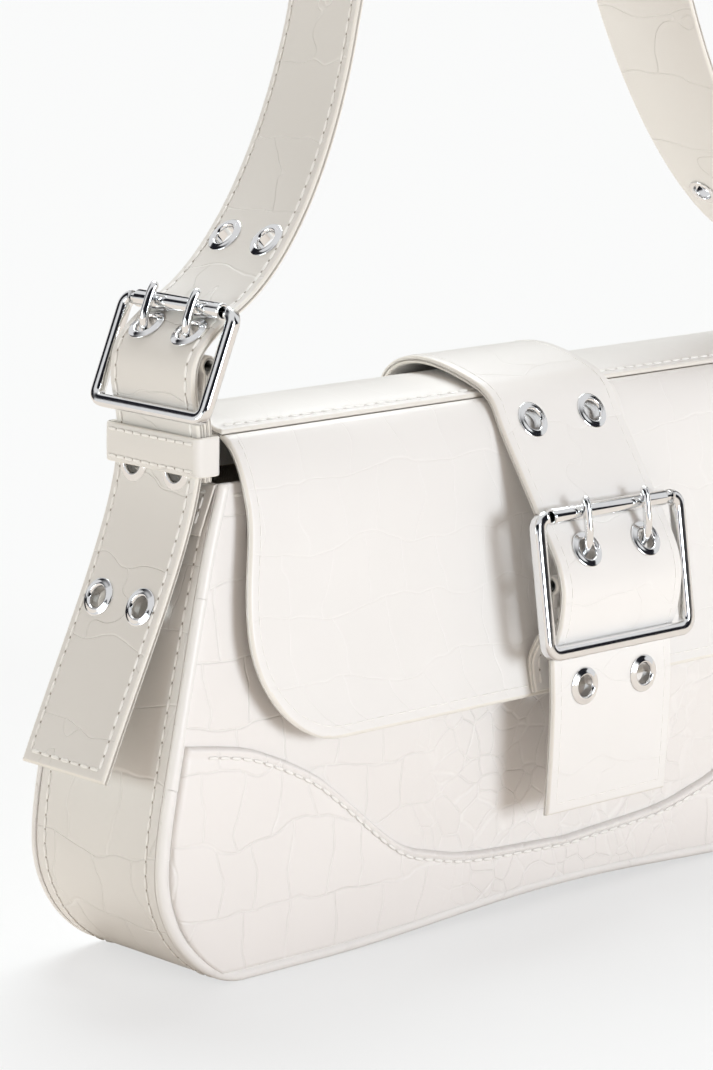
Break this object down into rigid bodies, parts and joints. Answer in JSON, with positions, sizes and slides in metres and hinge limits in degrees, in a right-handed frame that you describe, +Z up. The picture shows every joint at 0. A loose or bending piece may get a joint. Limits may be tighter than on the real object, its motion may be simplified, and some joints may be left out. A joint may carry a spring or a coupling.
{
  "type": "baguette shoulder bag",
  "caption": "Flared baguette shoulder bag with a curved flap, a buckled belt over the flap and a carry strap buckled at each end.",
  "frame": {"origin": "middle of the bag's overall box, on the floor that the bag stands on", "axes": "+X along the bag to its right end, +Y towards its back, +Z up towards the crown of the carry strap"},
  "size_m": [0.3052, 0.0817, 0.3514],
  "materials": {
    "croc_leather": "off-white coated leather with an embossed scale grain, semi-gloss",
    "strap_leather": "off-white coated leather with sparse embossed creases, semi-gloss",
    "lining_cloth": "plain woven lining",
    "chrome": "polished silver-coloured plating",
    "snap_steel": "plated magnetic snap"
  },
  "bodies": {
    "bag": {"front_panel": "croc_leather", "back_panel": "croc_leather", "gusset": "croc_leather", "wave_overlay": "croc_leather", "front_welt": "croc_leather", "back_welt": "croc_leather", "body_lining": "lining_cloth", "snap_socket": "snap_steel", "snap_magnet": "snap_steel", "snap_washer": "snap_steel", "left_tab_seat": "croc_leather", "right_tab_seat": "croc_leather"},
    "flap": {"flap_spine": "croc_leather", "flap_front": "croc_leather", "flap_lining": "lining_cloth", "snap_stud": "snap_steel", "belt": "croc_leather", "belt_tab": "croc_leather", "belt_eyelets": "chrome", "belt_buckle_frame": "chrome", "belt_buckle_bar": "chrome"},
    "belt_roller": {"belt_roller": "chrome"},
    "belt_prong_left": {"belt_prong_left": "chrome"},
    "belt_prong_right": {"belt_prong_right": "chrome"},
    "carry_strap": {"carry_strap": "strap_leather", "strap_eyelets": "chrome", "left_keeper": "strap_leather", "right_keeper": "strap_leather", "left_tab": "strap_leather", "right_tab": "strap_leather", "left_buckle_frame": "chrome", "right_buckle_frame": "chrome", "left_buckle_bar": "chrome", "right_buckle_bar": "chrome"},
    "left_roller": {"left_roller": "chrome"},
    "right_roller": {"right_roller": "chrome"},
    "left_prong_front": {"left_prong_front": "chrome"},
    "left_prong_back": {"left_prong_back": "chrome"},
    "right_prong_front": {"right_prong_front": "chrome"},
    "right_prong_back": {"right_prong_back": "chrome"}
  },
  "joints": [
    {"name": "flap_hinge", "type": "hinge", "parent": "bag", "child": "flap", "pos_m": [0, 0.02375, 0.11915], "axis": [-1, 0, 0], "range_deg": [0, 65]},
    {"name": "strap_swing", "type": "hinge", "parent": "bag", "child": "carry_strap", "pos_m": [0, 0.00566, 0.126], "axis": [1, 0, 0], "range_deg": [-8, 8]},
    {"name": "belt_roller_spin", "type": "hinge", "parent": "flap", "child": "belt_roller", "pos_m": [0, -0.03346, 0.10903], "axis": [1, 0, 0], "continuous": true},
    {"name": "belt_prong_left_lift", "type": "hinge", "parent": "flap", "child": "belt_prong_left", "pos_m": [-0.0112, -0.03525, 0.09134], "axis": [1, 0, 0], "range_deg": [0, 5]},
    {"name": "belt_prong_right_lift", "type": "hinge", "parent": "flap", "child": "belt_prong_right", "pos_m": [0.0112, -0.03525, 0.09134], "axis": [1, 0, 0], "range_deg": [0, 5]},
    {"name": "left_roller_spin", "type": "hinge", "parent": "carry_strap", "child": "left_roller", "pos_m": [-0.11434, 0.00566, 0.16823], "axis": [0, -1, 0], "continuous": true},
    {"name": "left_prong_front_lift", "type": "hinge", "parent": "carry_strap", "child": "left_prong_front", "pos_m": [-0.11858, -0.00234, 0.15532], "axis": [0, -1, 0], "range_deg": [0, 5]},
    {"name": "left_prong_back_lift", "type": "hinge", "parent": "carry_strap", "child": "left_prong_back", "pos_m": [-0.11858, 0.01366, 0.15532], "axis": [0, -1, 0], "range_deg": [0, 5]},
    {"name": "right_roller_spin", "type": "hinge", "parent": "carry_strap", "child": "right_roller", "pos_m": [0.11434, 0.00566, 0.16823], "axis": [0, 1, 0], "continuous": true},
    {"name": "right_prong_front_lift", "type": "hinge", "parent": "carry_strap", "child": "right_prong_front", "pos_m": [0.11858, -0.00234, 0.15532], "axis": [0, 1, 0], "range_deg": [0, 5]},
    {"name": "right_prong_back_lift", "type": "hinge", "parent": "carry_strap", "child": "right_prong_back", "pos_m": [0.11858, 0.01366, 0.15532], "axis": [0, 1, 0], "range_deg": [0, 5]}
  ]
}
